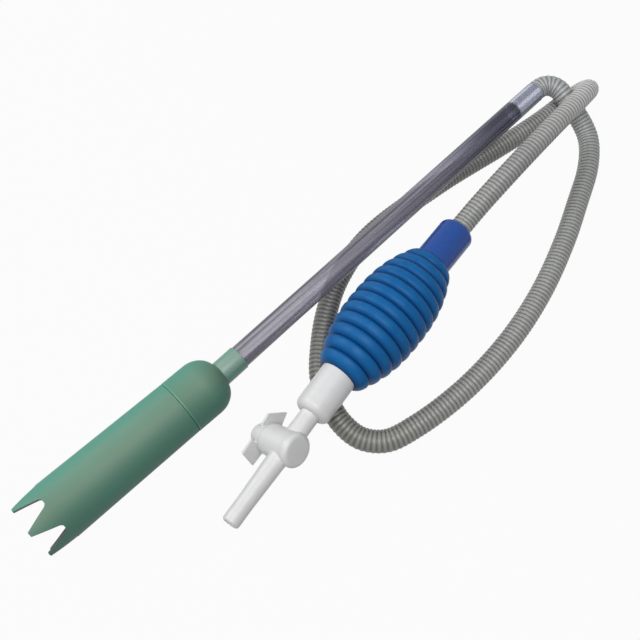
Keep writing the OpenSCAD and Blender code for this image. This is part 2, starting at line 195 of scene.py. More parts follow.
def share_between(tree, axis, start, end, yaw=0.0):
    """A value from 0 to 1 between two places along the object's own X, Y or Z, turned by a yaw."""
    coords = add_node(tree, "ShaderNodeTexCoord")
    turned = add_node(tree, "ShaderNodeMapping", {"Rotation": (0, 0, -yaw)},
                      {"Vector": coords.outputs["Object"]})
    split = add_node(tree, "ShaderNodeSeparateXYZ", {}, {"Vector": turned.outputs["Vector"]})
    share = add_node(tree, "ShaderNodeMapRange", {"From Min": start, "From Max": end},
                     {"Value": split.outputs[axis]})
    return share.outputs["Result"]


def speckle(tree, size, detail=2.0):
    """A soft cloudy value whose patches are about this many metres across."""
    coords = add_node(tree, "ShaderNodeTexCoord")
    cloud = add_node(tree, "ShaderNodeTexNoise", {"Scale": 1 / size, "Detail": detail},
                     {"Vector": coords.outputs["Object"]})
    return cloud.outputs["Fac"]


def colours_by(tree, share, stops):
    """Colours over a value from 0 to 1, given as pairs of place and hex colour."""
    ramp = add_node(tree, "ShaderNodeValToRGB", {}, {"Fac": share})
    elements = ramp.color_ramp.elements
    for place, colour in stops[1:-1]:
        elements.new(place)
    for element, (place, colour) in zip(elements, stops):
        element.position = place
        element.color = linear(colour)
    return ramp.outputs["Color"]


def mixed(tree, share, first, second, blend="MIX"):
    """Two colours blended by a share, each a hex colour or another node's output."""
    mix = add_node(tree, "ShaderNodeMix", {"data_type": "RGBA", "blend_type": blend})
    for socket, value in ((0, share), (6, first), (7, second)):
        if isinstance(value, str):
            mix.inputs[socket].default_value = linear(value)
        elif isinstance(value, float):
            mix.inputs[socket].default_value = value
        else:
            tree.links.new(value, mix.inputs[socket])
    return mix.outputs[2]


def rough_normal(tree, strength, depth, height):
    """A normal for a skin that a height value roughens to a depth in metres."""
    bump = add_node(tree, "ShaderNodeBump", {"Strength": strength, "Distance": depth}, {"Height": height})
    return bump.outputs["Normal"]


def end_with_plastic(tree, settings, links):
    """Ends a material's tree with one plastic surface."""
    shader = add_node(tree, "ShaderNodeBsdfPrincipled", settings, links)
    add_node(tree, "ShaderNodeOutputMaterial", {}, {"Surface": shader.outputs["BSDF"]})


def green_polystyrene(name, roughness, half_width, stops):
    """Frosted translucent polystyrene: a soft broad gloss and a fine moulded grain. Across the tube the
    colour is painted light and shade: clear lit teal on one side, a greyer painted sheen over the top,
    then a darker painted shade on the far side."""
    material, tree = start_material(name)
    across = share_between(tree, "Y", nozzle_across - half_width, nozzle_across + half_width, nozzle_yaw)
    wall = colours_by(tree, across, stops)
    clouded = mixed(tree, speckle(tree, 0.03), wall, "#eef0ec", "MULTIPLY")
    grain = rough_normal(tree, 0.1, 0.0002, speckle(tree, 0.0008))
    end_with_plastic(tree, {"Roughness": roughness, "IOR": 1.59},
                     {"Base Color": clouded, "Normal": grain})
    return material


# Painted light and shade across the tube: darker far side, greyer painted sheen on top, lit teal side.
green_skin = green_polystyrene("translucent_green_polystyrene", 0.62, MOUTH_R, [
    (0.0, "#3b6f60"), (0.15, "#477664"), (0.4, "#62836f"), (0.6, "#608b77"), (0.8, "#519683"),
    (1.0, "#479a83")])
# The inside faces get this darker material as painted shade.
green_inside = green_polystyrene("shaded_green_polystyrene", 0.6, MOUTH_R, [
    (0.0, "#3a4a41"), (1.0, "#4a5d52")])
# The cut faces of the teeth get a darker painted shade.
green_edge = green_polystyrene("cut_edge_green_polystyrene", 0.6, MOUTH_R, [
    (0.0, "#414f47"), (1.0, "#55665a")])

gravel_tube = turn("green_gravel_tube", [
    (GRAVEL_BORE_R, 0), (MOUTH_R - TOOTH_RELIEF, 0), (MOUTH_R - TOOTH_RELIEF, RELIEF_END),
    (MOUTH_R, RELIEF_END + RELIEF_RAMP), (SEAM_R, TUBE_LENGTH - SEAM_CHAMFER),
    (SEAM_R - SEAM_CHAMFER, TUBE_LENGTH), (LAP_R, TUBE_LENGTH), (LAP_R, TUBE_LENGTH + LAP_LENGTH),
    (GRAVEL_BORE_R, TUBE_LENGTH + LAP_LENGTH), (GRAVEL_BORE_R, TOOTH_LENGTH), (GRAVEL_BORE_R, 0),
], steps=144)
gravel_tube.data.materials.append(green_skin)
gravel_tube.data.materials.append(green_inside)
# Faces on the bore take the inside's darker painted shade.
for face in gravel_tube.data.polygons:
    if face.center.xy.length < GRAVEL_BORE_R + FACE_MARGIN:
        face.material_index = 1

# One V cutter is a cube whose lower face is spread to the mouth and whose upper edges are nipped,
# copied round the tube
notch_mouth = MOUTH_R * math.sin(math.pi / TEETH) * 2 - TOOTH_TIP
notch_height = TOOTH_LENGTH + BELOW_MOUTH
notch_mid = (MOUTH_R - NOTCH_INSET, 0, TOOTH_LENGTH - notch_height / 2)
bpy.ops.object.select_all(action="DESELECT")
bpy.ops.mesh.primitive_cube_add(size=1, location=notch_mid)
notch = bpy.context.object
notch.scale = (CUTTER_DEPTH, NOTCH_ROOT_W, notch_height)
bpy.ops.object.transform_apply(location=True, rotation=True, scale=True)
bpy.ops.object.mode_set(mode="EDIT")
bpy.ops.mesh.select_mode(type="FACE")
bpy.ops.mesh.select_all(action="DESELECT")
bpy.ops.object.mode_set(mode="OBJECT")
for face in notch.data.polygons:
    face.select = face.normal.z < -0.5
bpy.ops.object.mode_set(mode="EDIT")
bpy.ops.transform.resize(value=(1, (notch_mouth + BELOW_MOUTH) / NOTCH_ROOT_W, 1))
for side_sign in (-1, 1):
    bpy.ops.mesh.select_all(action="SELECT")
    bpy.ops.mesh.bisect(plane_co=(0, side_sign * NOTCH_ROOT_W / 2, TOOTH_LENGTH - NOTCH_CORNER),
                        plane_no=(0, side_sign, 1), use_fill=True, clear_outer=True)
bpy.ops.mesh.select_all(action="SELECT")
bpy.ops.mesh.normals_make_consistent(inside=False)
bpy.ops.object.mode_set(mode="OBJECT")
notch.data.materials.append(green_edge)
for i in range(TEETH):
    cutter = notch.copy()
    cutter.data = notch.data.copy()
    bpy.context.scene.collection.objects.link(cutter)
    cutter.matrix_world = Matrix.Rotation(TOOTH_PHASE + math.tau / TEETH * (i + 0.5), 4, "Z")
    combine(gravel_tube, cutter, "DIFFERENCE")
bpy.data.objects.remove(notch)
settle(gravel_tube, nozzle_place)
stand_for(gravel_tube, "gravel_tube", "siphon")


# Nozzle cap: the domed shoulder and neck that close the gravel tube, moulded in the same green
# polystyrene and cemented over the tube's lap. The joint shows as a thin light line.

SKIRT_STEP = 0.0001
SKIRT_R = SEAM_R + SKIRT_STEP
SKIRT_CHAMFER = 0.0003
CAP_FOOT = TUBE_LENGTH + 0.0001
CAP_WALL = 0.0018
DOME_START = 0.132
DOME_HEIGHT = 0.0155
DOME_CENTRE_R = 0.006
NECK_R = 0.0086
NECK_END = 0.1645
NECK_LIP = 0.0007
NECK_FILLET = 0.0011
NECK_FILLET_FROM = 264
NECK_STRAIGHT = 0.001
SEAM_RISE = 0.00012
SEAM_FROM = TUBE_LENGTH + 0.0003
SEAM_TO = TUBE_LENGTH + 0.0007
SEAM_END = TUBE_LENGTH + 0.001
RISER_R = 0.008
RISER_BORE_R = 0.0068


def dome(reach_r, reach_z, end_r, steps=20):
    """The domed shoulder's quarter ellipse, from the skirt up to a radius at its foot."""
    end = math.acos((end_r - DOME_CENTRE_R) / reach_r)
    turns = [end * i / steps for i in range(steps + 1)]
    return [(DOME_CENTRE_R + reach_r * math.cos(a), DOME_START + reach_z * math.sin(a)) for a in turns]


cap_inner_r = SKIRT_R - CAP_WALL
shoulder = dome(SKIRT_R - DOME_CENTRE_R, DOME_HEIGHT, NECK_R + NECK_FILLET)
neck_foot = shoulder[-1][1] + NECK_FILLET
nozzle_cap = turn("green_nozzle_cap", [
    (LAP_R, CAP_FOOT), (SKIRT_R - SKIRT_CHAMFER, CAP_FOOT),
    (SKIRT_R + SEAM_RISE, SEAM_FROM), (SKIRT_R + SEAM_RISE, SEAM_TO), (SKIRT_R, SEAM_END), *shoulder,
    *arc((NECK_R + NECK_FILLET, neck_foot), NECK_FILLET, NECK_FILLET_FROM, 180),
    (NECK_R, neck_foot + NECK_STRAIGHT),
    *arc((NECK_R - NECK_LIP, NECK_END - NECK_LIP), NECK_LIP, 0, 90),
    (RISER_R, NECK_END), (RISER_R, RISER_STOP), (RISER_BORE_R, RISER_STOP),
    *reversed(dome(cap_inner_r - DOME_CENTRE_R, DOME_HEIGHT - CAP_WALL, RISER_BORE_R)),
    (cap_inner_r, TUBE_LENGTH + LAP_LENGTH), (LAP_R, TUBE_LENGTH + LAP_LENGTH), (LAP_R, CAP_FOOT),
], steps=144)
# Inner faces get the inside's darker painted shade; the neck a pale painted sheen between darker painted shade at
# its sides.
for finish in (green_skin, green_inside,
               green_polystyrene("pale_seam_green_polystyrene", 0.45, SKIRT_R, [
                   (0.0, "#47836f"), (0.4, "#70a88e"), (1.0, "#57a88e")]),
               green_polystyrene("neck_green_polystyrene", 0.35, NECK_R, [
                   (0.0, "#4c8071"), (0.35, "#8aa59b"), (0.65, "#84a498"), (1.0, "#559886")])):
    nozzle_cap.data.materials.append(finish)
for face in nozzle_cap.data.polygons:
    radius, height = face.center.xy.length, face.center.z
    if height < SEAM_END and radius > SKIRT_R - SKIRT_CHAMFER:
        face.material_index = 2
    elif height > neck_foot:
        face.material_index = 3
    elif face.normal.xy.dot(face.center.xy) < 0:
        face.material_index = 1

# The neck leans to stay in line with the riser
bpy.ops.object.mode_set(mode="EDIT")
bpy.ops.mesh.select_mode(type="VERT")
bpy.ops.mesh.select_all(action="DESELECT")
bpy.ops.object.mode_set(mode="OBJECT")
for point in nozzle_cap.data.vertices:
    point.select = point.co.z > neck_foot + NECK_STRAIGHT / 2
bpy.ops.object.mode_set(mode="EDIT")
bpy.ops.transform.rotate(value=NOZZLE_LEAN, orient_axis="X", center_override=(0, 0, RISER_STOP))
bpy.ops.object.mode_set(mode="OBJECT")
settle(nozzle_cap, nozzle_place)
stand_for(nozzle_cap, "nozzle_cap", "siphon")


# Riser tube: a length of clear extruded PVC with a smoke tint, pushed into the neck. It is glossy
# and smooth, the loop of hose under it shows through, and its edges look darkest because there
# the eye looks along the wall.

CUFF_LENGTH = 0.025
FIT_GAP = 0.00005
RISER_SKIN_R = RISER_R - FIT_GAP
RISER_CHAMFER = 0.0003
PAINTED_STREAK_W = 0.003
PAINTED_STREAK_STRETCH = 100
cuff_inner_x = (riser_place @ Vector((0, 0, RISER_LENGTH - CUFF_LENGTH))).x
neck_x = (riser_place @ Vector((0, 0, NECK_END - RISER_STOP))).x


def smoked_clear_pvc():
    """Clear smoke-tinted PVC: a glossy see-through wall with faint lengthwise streaks painted in as
    reflections. The smoke is a warm grey at the neck and slate blue at the hose end, and closes up at the
    edges. Over the milky cuff, from the last stop of each ramp, the wall has a pale backing and closes up less."""
    material, tree = start_material("smoked_clear_pvc")
    length = share_between(tree, "X", neck_x, cuff_inner_x)
    smoke = colours_by(tree, length, [
        (0.0, "#dcdae0"), (0.25, "#e2e0e6"), (0.7, "#e2e1ea"), (0.9, "#c0bfce"), (0.995, "#b0b0c4"),
        (1.0, "#f0f0f6")])
    # Painted reflection streaks: lengthwise bands darken the tint and the wall, leaving pale streaks between.
    coords = add_node(tree, "ShaderNodeTexCoord")
    stretched = add_node(tree, "ShaderNodeMapping", {"Scale": (1 / PAINTED_STREAK_STRETCH, 1.0, 1.0)},
                         {"Vector": coords.outputs["Object"]})
    streak_noise = add_node(tree, "ShaderNodeTexNoise", {"Scale": 1 / PAINTED_STREAK_W, "Detail": 1.0},
                    {"Vector": stretched.outputs["Vector"]})
    painted_streaks = colours_by(tree, streak_noise.outputs["Fac"], [
        (0.0, "#98989e"), (0.42, "#b8b8bd"), (0.6, "#ffffff"), (1.0, "#ffffff")])
    rim = add_node(tree, "ShaderNodeLayerWeight", {"Blend": 0.3})
    edge = add_node(tree, "ShaderNodeMath", {"operation": "POWER", 1: 2.0}, {0: rim.outputs["Facing"]})
    hollow = colours_by(tree, length, [(0.0, "#ffffff"), (0.995, "#ffffff"), (1.0, "#505050")])
    closing = mixed(tree, 1.0, edge.outputs[0], hollow, "MULTIPLY")
    through = mixed(tree, closing, mixed(tree, 1.0, smoke, painted_streaks, "MULTIPLY"), "#4b4a5c")
    haze = colours_by(tree, length, [
        (0.0, "#b0b0b0"), (0.7, "#b4b4b4"), (0.9, "#d8d8d8"), (0.995, "#e0e0e0"), (1.0, "#c4c4c4")])
    cover = mixed(tree, closing, haze, "#eeeeee")
    wall = mixed(tree, 1.0, painted_streaks, colours_by(tree, length, [
        (0.0, "#b4b1b8"), (0.3, "#aeabb5"), (0.7, "#a8a6b4"), (0.9, "#55546a"), (0.995, "#4a4a5f"),
        (1.0, "#e0e6f4")]), "MULTIPLY")
    clear = add_node(tree, "ShaderNodeBsdfTransparent", {}, {"Color": through})
    gloss = add_node(tree, "ShaderNodeBsdfPrincipled", {"Roughness": 0.07, "IOR": 1.53},
                     {"Base Color": mixed(tree, closing, wall, "#2e2c3b")})
    both = add_node(tree, "ShaderNodeMixShader", {},
                    {0: cover, 1: clear.outputs["BSDF"], 2: gloss.outputs["BSDF"]})
    add_node(tree, "ShaderNodeOutputMaterial", {}, {"Surface": both.outputs["Shader"]})
    return material


def clear_bore_pvc():
    """The bore of the riser: nearly clear, only its gloss is seen."""
    material, tree = start_material("clear_bore_pvc")
    tint = mixed(tree, speckle(tree, 0.004), "#8f8d9a", "#9d9ba8")
    end_with_plastic(tree, {"Roughness": 0.15, "IOR": 1.53, "Alpha": 0.05}, {"Base Color": tint})
    return material


riser_tube = turn("clear_riser_tube", [
    (RISER_BORE_R, 0), (RISER_SKIN_R, 0), (RISER_SKIN_R, RISER_LENGTH - RISER_CHAMFER),
    (RISER_R - RISER_CHAMFER, RISER_LENGTH), (RISER_BORE_R, RISER_LENGTH), (RISER_BORE_R, 0),
])
riser_tube.data.materials.append(smoked_clear_pvc())
riser_tube.data.materials.append(clear_bore_pvc())
for face in riser_tube.data.polygons:
    if face.center.xy.length < RISER_BORE_R + FACE_MARGIN:
        face.material_index = 1
riser_tube.visible_shadow = False  # lamps shine through clear plastic
settle(riser_tube, riser_place)
stand_for(riser_tube, "riser_tube", "siphon")


# Hose cuff: the plain end of the hose, a milky soft PVC sleeve pushed inside the riser. It shows
# through the riser as a pale length that ends in a clean ring.

CUFF_R = RISER_BORE_R - FIT_GAP
CUFF_BORE_R = 0.0053
CUFF_CHAMFER = 0.0006


def milky_soft_pvc():
    """Milky soft PVC: waxy satin and pale lavender, a little uneven."""
    material, tree = start_material("milky_soft_pvc")
    tint = mixed(tree, speckle(tree, 0.005), "#ced1de", "#d8dae6")
    end_with_plastic(tree, {"Roughness": 0.4, "IOR": 1.53}, {"Base Color": tint})
    return material


def coat(piece, material):
    """Gives a piece one material in place of any that it has."""
    piece.data.materials.clear()
    piece.data.materials.append(material)


cuff_start = RISER_LENGTH - CUFF_LENGTH
hose_cuff = turn("milky_hose_cuff", [
    (CUFF_BORE_R, cuff_start), (CUFF_R - CUFF_CHAMFER, cuff_start), (CUFF_R, cuff_start + CUFF_CHAMFER),
    (CUFF_R, RISER_LENGTH), (CUFF_BORE_R, RISER_LENGTH), (CUFF_BORE_R, cuff_start),
])
coat(hose_cuff, milky_soft_pvc())
settle(hose_cuff, riser_place)
stand_for(hose_cuff, "hose_cuff", "siphon")


# Drain hose: about a metre of grey translucent corrugated PVC, blown with rings three millimetres
# apart so that it bends without kinking. It lies in loops on the table and goes back
# into the inlet collar.

HOSE_D = 0.0155
RIB_PITCH = 0.00305
RIB_DEPTH = 0.00035
RIB_STEPS = 8
GROOVE_SHARPNESS = 1.4
HOSE_SIDES = 26
SPAN_STEPS = 24
HOSE_ROUTE_MM = [
    (237.4, 33.63, 27.53), (239.4, 33.66, 27.56), (242.2, 33.6, 27.7), (246.7, 32.2, 28.1),
    (250.5, 28.6, 28.2), (252.4, 22.8, 27.7), (252.4, 15, 25.2), (252.2, 6, 20.3), (251.4, -7, 13),
    (247.7, -16.5, 9), (239.2, -25, 7.8), (222, -36, 7.8), (196, -47.5, 7.8), (160, -62.5, 7.8),
    (115, -77, 7.8), (70, -85.5, 7.8), (22, -87.4, 7.8), (-21, -82.2, 7.8), (-43.2, -75, 7.8),
    (-53.4, -62.4, 7.8), (-55, -46, 7.8), (-50.7, -30, 7.8), (-42, -13.7, 7.8), (-25.8, 2.2, 7.8),
    (-6, 17.3, 7.8), (20, 31, 7.8), (60, 40.4, 7.8), (130, 35.9, 7.8), (190, 26.2, 7.8),
    (219, 21.7, 7.8), (240, 19.4, 7.8), (256.5, 18, 8.5), (265.2, 15.7, 12.1), (269.4, 10.4, 21.5),
    (265.8, 4.9, 31), (256.2, 2.5, 36.2), (240, 0.7, 38.9), (212, -1.6, 41.4), (168, -4.1, 39.3),
    (124, -6.1, 31.9), (104, -7.75, 28.6), (84.2, -10.42, 28.4),
]


def hose_span(points, share):
    """A point between the middle two of four route points, on a curve that joins smoothly on."""
    times = [0.0]
    for a, b in zip(points, points[1:]):
        times.append(times[-1] + math.sqrt((b - a).length))
    t = times[1] + (times[2] - times[1]) * share

    def between(a, b, start, end):
        return (a * (end - t) + b * (t - start)) / (end - start)

    a, b, c = (between(points[i], points[i + 1], times[i], times[i + 1]) for i in range(3))
    return between(between(a, b, 0.0, times[2]), between(b, c, times[1], times[3]), times[1], times[2])


def even_line(points, step):
    """The same line with points a fixed step apart."""
    out = [points[0]]
    left = step
    for a, b in zip(points, points[1:]):
        length = (b - a).length
        done = 0.0
        while length - done >= left:
            done += left
            out.append(a.lerp(b, done / length))
            left = step
        left -= length - done
    return out


route = [Vector(p) / 1000 for p in HOSE_ROUTE_MM]
route = [2 * route[0] - route[1]] + route + [2 * route[-1] - route[-2]]
fine_line = [hose_span(route[i:i + 4], k / SPAN_STEPS)
             for i in range(len(route) - 3) for k in range(SPAN_STEPS)]
fine_line.append(route[-2])
hose_line = even_line(fine_line, RIB_PITCH / RIB_STEPS)

# Rings are carried along the line without twist, and each ring's radius follows the corrugation
hose_points, hose_faces, hose_along, hose_groove = [], [], [], []
side = Vector((0, 1, 0))
for i, centre in enumerate(hose_line):
    ahead = (hose_line[min(i + 1, len(hose_line) - 1)] - hose_line[max(i - 1, 0)]).normalized()
    side = (side - ahead * side.dot(ahead)).normalized()
    up = ahead.cross(side)
    phase = (i % RIB_STEPS) / RIB_STEPS
    groove = (0.5 - 0.5 * math.cos(2 * math.pi * phase)) ** GROOVE_SHARPNESS
    radius = HOSE_D / 2 - RIB_DEPTH * groove
    for k in range(HOSE_SIDES):
        angle = 2 * math.pi * k / HOSE_SIDES
        hose_points.append(centre + radius * (math.cos(angle) * side + math.sin(angle) * up))
        hose_along.append(i / (len(hose_line) - 1))
        hose_groove.append(groove)
for i in range(len(hose_line) - 1):
    for k in range(HOSE_SIDES):
        a, b = i * HOSE_SIDES + k, i * HOSE_SIDES + (k + 1) % HOSE_SIDES
        hose_faces.append((a, b, b + HOSE_SIDES, a + HOSE_SIDES))
hose_faces.append(tuple(reversed(range(HOSE_SIDES))))
hose_faces.append(tuple(range(len(hose_points) - HOSE_SIDES, len(hose_points))))
hose_mesh = bpy.data.meshes.new("corrugated_drain_hose")
hose_mesh.from_pydata(hose_points, [], hose_faces)
# along carries the painted light and shade down the hose; groove also sets the painted groove shade.
for attribute, values in (("along", hose_along), ("groove", hose_groove)):
    hose_mesh.attributes.new(attribute, "FLOAT", "POINT").data.foreach_set("value", values)
drain_hose = bpy.data.objects.new("corrugated_drain_hose", hose_mesh)
bpy.context.scene.collection.objects.link(drain_hose)


def grey_translucent_pvc():
    """Blown grey PVC: satin, with pale thin crests over grooves darkened as painted shade. Along its
    length the colour is painted light and shade: paler on the bends, darker where it lies close on the table."""
    material, tree = start_material("grey_translucent_pvc")
    place = add_node(tree, "ShaderNodeAttribute", {"attribute_name": "along"})
    # Painted light and shade along the hose: paler on the bends, darker where it lies low on the table.
    crest = colours_by(tree, place.outputs["Fac"], [
        (0.0, "#c6cacd"), (0.04, "#c0c3c3"), (0.11, "#b4b6b3"), (0.3, "#b2b3af"), (0.4, "#979690"),
        (0.5, "#7a7977"), (0.58, "#737270"), (0.7, "#8c8b89"), (0.77, "#cfcfce"), (0.81, "#f4f4f4"),
        (0.85, "#d4d4d3"), (0.91, "#b0b1b0"), (1.0, "#b2b4b1")])
    clouded = mixed(tree, speckle(tree, 0.006, 3.0), crest, "#e4e3df", "MULTIPLY")
    # The grooves are darkened as painted shade.
    dip = add_node(tree, "ShaderNodeAttribute", {"attribute_name": "groove"})
    ribbed = mixed(tree, dip.outputs["Fac"], clouded, mixed(tree, 1.0, clouded, "#a2a3a4", "MULTIPLY"))
    end_with_plastic(tree, {"Roughness": 0.36, "IOR": 1.53}, {"Base Color": ribbed})
    return material


coat(drain_hose, grey_translucent_pvc())
settle(drain_hose, Matrix.Identity(4), smooth_angle=60)
stand_for(drain_hose, "drain_hose", "siphon")


# Inlet collar: a glossy blue ABS moulding that joins the hose to the bulb. Its round shoulder
# faces the hose, and a bead inside the bulb's mouth keeps it in.

INLET_R = 0.013
COLLAR_IN = 0.012
CHAMBER_R = 0.0095
MOUTH_LIP = 0.0065
BEAD_RISE = 0.0013
BEAD_STEP = MOUTH_LIP + 0.0009
BEAD_CREST = MOUTH_LIP + 0.0014
BEAD_END = MOUTH_LIP + 0.0028
SOCKET_ROUND = 0.0005
HOSE_FIT = 0.00015
BULB_HALF = 0.0528
bulb_low, bulb_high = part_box("priming_bulb")
bulb_mid = (bulb_low + bulb_high) / 2
inlet_joint = next(j for j in frame["joints"] if j["name"] == "inlet_valve_lift")
inflow = Vector(inlet_joint["axis"]).normalized()
outflow = Vector(frame["record"]["mounts"][0]["axis"]).normalized()
inlet_place = place_along(-inflow, bulb_mid - inflow * BULB_HALF)
outlet_place = place_along(outflow, bulb_mid + inflow * BULB_HALF)


def collar_outline(radius, length, shoulder_r, shelf, throat_r, socket_r, socket_length):
    """Half section of a collar, height outwards from the bulb's end: bead, shoulder, stepped bore."""
    return [
        (CHAMBER_R, -COLLAR_IN), (radius, -COLLAR_IN), (radius, -BEAD_END),
        (radius + BEAD_RISE, -BEAD_CREST), (radius + BEAD_RISE, -BEAD_STEP), (radius, -BEAD_STEP),
        *arc((radius - shoulder_r, length - shoulder_r), shoulder_r, 0, 90, 10),
        *arc((socket_r + SOCKET_ROUND, length - SOCKET_ROUND), SOCKET_ROUND, 90, 180, 4),
        (socket_r, length - socket_length), (throat_r, length - socket_length),
        (throat_r, shelf), (CHAMBER_R, shelf), (CHAMBER_R, -COLLAR_IN),
    ]


def glossy_blue_abs():
    """Moulded blue ABS: a clear gloss over an even deep blue, with the slightest flow waviness."""
    material, tree = start_material("glossy_blue_abs")
    wave = speckle(tree, 0.004)
    tint = mixed(tree, wave, "#1a4794", "#2050a0")
    end_with_plastic(tree, {"Roughness": 0.28, "IOR": 1.53, "Specular IOR Level": 0.3},
                     {"Base Color": tint, "Normal": rough_normal(tree, 0.06, 0.0004, wave)})
    return material


inlet_collar = turn("blue_inlet_collar", collar_outline(
    radius=INLET_R, length=0.034, shoulder_r=0.004, shelf=0.014, throat_r=0.0052,
    socket_r=HOSE_D / 2 + HOSE_FIT, socket_length=0.016))
coat(inlet_collar, glossy_blue_abs())
settle(inlet_collar, inlet_place)
stand_for(inlet_collar, "inlet_collar", "siphon")


# Priming bulb: a soft blue PVC bulb, dip moulded with twelve rounded rings so that a hand can
# grip and squeeze it. The skin is satin with a fine grain.

BULB_R = 0.028
BULB_END_R = 0.01575
BULB_POWER = 2.4
BULB_RINGS = 12
GROOVE_DEPTH = 0.0022
RING_POWER = 3
RING_STEPS = 12
BULB_WALL = 0.0022
OUTLET_R = 0.0124
OUTLET_HOLE_R = OUTLET_R + 0.0003


def bulb_radius(z):
    """Radius over the rings at a distance from the bulb's middle."""
    return BULB_END_R + (BULB_R - BULB_END_R) * (1 - (abs(z) / BULB_HALF) ** BULB_POWER)


def soft_blue_pvc():
    """Soft moulded PVC: satin skin with a fine grain and cloudy handling marks, its rings given a paler
    painted highlight at the crest and a deep blue painted shade in the grooves."""
    material, tree = start_material("soft_blue_pvc")
    # Painted highlight on the ring crests and painted shade in the grooves.
    crest_light_share = add_node(tree, "ShaderNodeAttribute", {"attribute_name": "crest"})
    handled = mixed(tree, speckle(tree, 0.008, 4.0), "#0a5796", "#1a6eae")
    tint = mixed(tree, crest_light_share.outputs["Fac"], "#043a70", handled)
    grain = rough_normal(tree, 0.2, 0.0002, speckle(tree, 0.0008, 3.0))
    end_with_plastic(tree, {"Roughness": 0.42, "IOR": 1.5, "Specular IOR Level": 0.15},
                     {"Base Color": tint, "Normal": grain})
    return material


def groove_share(ring_share):
    """How deep in a groove a place lies, by its share of the way over one ring."""
    return abs(2 * ring_share - 1) ** RING_POWER


cavity_half = BULB_HALF - MOUTH_LIP
ring_pitch = 2 * BULB_HALF / BULB_RINGS
bulb_outline = []
for i in range(BULB_RINGS * RING_STEPS + 1):
    z = -BULB_HALF + 2 * BULB_HALF * i / (BULB_RINGS * RING_STEPS)
    bulb_outline.append((bulb_radius(z) - GROOVE_DEPTH * groove_share((i % RING_STEPS) / RING_STEPS), z))
bulb_outline += [(INLET_R, BULB_HALF), (INLET_R, cavity_half)]
for i in range(BULB_RINGS + 1):
    z = cavity_half - 2 * cavity_half * i / BULB_RINGS
    bulb_outline.append((bulb_radius(z) - GROOVE_DEPTH - BULB_WALL, z))
bulb_outline += [(OUTLET_HOLE_R, -cavity_half), (OUTLET_HOLE_R, -BULB_HALF), bulb_outline[0]]
priming_bulb = turn("ringed_priming_bulb", bulb_outline, steps=128)
# Each point's nearness to a ring crest, for the painted crest highlight and groove shade.
crests = [1 - groove_share((point.co.z + BULB_HALF) / ring_pitch % 1)
          for point in priming_bulb.data.vertices]
priming_bulb.data.attributes.new("crest", "FLOAT", "POINT").data.foreach_set("value", crests)
coat(priming_bulb, soft_blue_pvc())
settle(priming_bulb, place_along(-inflow, bulb_mid), smooth_angle=50)
stand_for(priming_bulb, "priming_bulb", "siphon")


# Outlet collar: a white polypropylene moulding held in the bulb's other mouth by a bead, with a
# round shoulder towards the stopcock. Its surface is satin and slightly waxy.

def white_polypropylene(name, colour, roughness):
    """Moulded polypropylene: waxy satin, faintly clouded, with a fine grain."""
    material, tree = start_material(name)
    tint = mixed(tree, speckle(tree, 0.006, 3.0), colour, mixed(tree, 1.0, colour, "#f3f2f0", "MULTIPLY"))
    grain = rough_normal(tree, 0.06, 0.0002, speckle(tree, 0.0007))
    end_with_plastic(tree, {"Roughness": roughness, "IOR": 1.49},
                     {"Base Color": tint, "Normal": grain})
    return material


white_skin = white_polypropylene("white_polypropylene", "#e6e6e7", 0.38)
outlet_collar = turn("white_outlet_collar", collar_outline(
    radius=OUTLET_R, length=0.032, shoulder_r=0.005, shelf=0.0185, throat_r=0.0046,
    socket_r=0.00675, socket_length=0.0095))
coat(outlet_collar, white_skin)
settle(outlet_collar, outlet_place)
stand_for(outlet_collar, "outlet_collar", "siphon")


# Flap valves: a seat, a rubber disc and a cage in each collar let the water through one way only.
# They are the frame's own solids, out of sight inside the collars.

def moulded_rubber(name, colour):
    """Moulded black rubber: dull, with a faint bloom and a fine stippled skin."""
    material, tree = start_material(name)
    bloom = speckle(tree, 0.002, 3.0)
    tint = mixed(tree, bloom, colour, "#3a3a3b")
    end_with_plastic(tree, {"Roughness": 0.7, "IOR": 1.52},
                     {"Base Color": tint, "Normal": rough_normal(tree, 0.2, 0.0001, bloom)})
    return material


valve_rubber = moulded_rubber("moulded_valve_rubber", "#222223")
for side_name in ("inlet", "outlet"):
    for part, finish in (("seat", white_skin), ("disc", valve_rubber), ("cage", white_skin)):
        coat(nodes[f"{side_name}_valve_{part}"], finish)


# Stopcock body: neck, cross barrel and outlet spigot in one white polypropylene moulding. The
# corners where the round forms meet are softly filleted by the mould.

turn_joint = next(j for j in frame["joints"] if j["name"] == "stopcock_turn")
plug_axis = Vector(turn_joint["axis"]).normalized()
plug_place = Matrix((outflow.cross(plug_axis) * -1, -outflow, plug_axis)).transposed().to_4x4()
plug_place.translation = Vector(turn_joint["pos_m"])
PLUG_AT = 0.057
TIP_AT = 0.115
NECK_FROM = 0.0226
STOPCOCK_NECK_R = 0.0067
SPIGOT_R = 0.0058
SPIGOT_ROOT_R = 0.00695
SPIGOT_LAND = 0.016
SPIGOT_TIP_R = 0.002
NECK_BORE_R = 0.0042
WATER_WAY_R = 0.0036
PLUG_BORE_R = 0.00706
CLIP_ROOM_FROM = 0.0044
CLIP_ROOM_R = 0.0088
BARREL_REAR = -0.0165
BARREL_REAR_R = 0.009
BARREL_CHAMFER = 0.0016
BARREL_R = 0.0106
BARREL_FLARE_R = 0.0107
BARREL_FLARE = 0.0041
BARREL_RIM_R = 0.0109
BARREL_RIM = 0.0057
BARREL_FRONT = 0.0072
DRILL_PAST = 0.001
BORE_STEP = 0.001


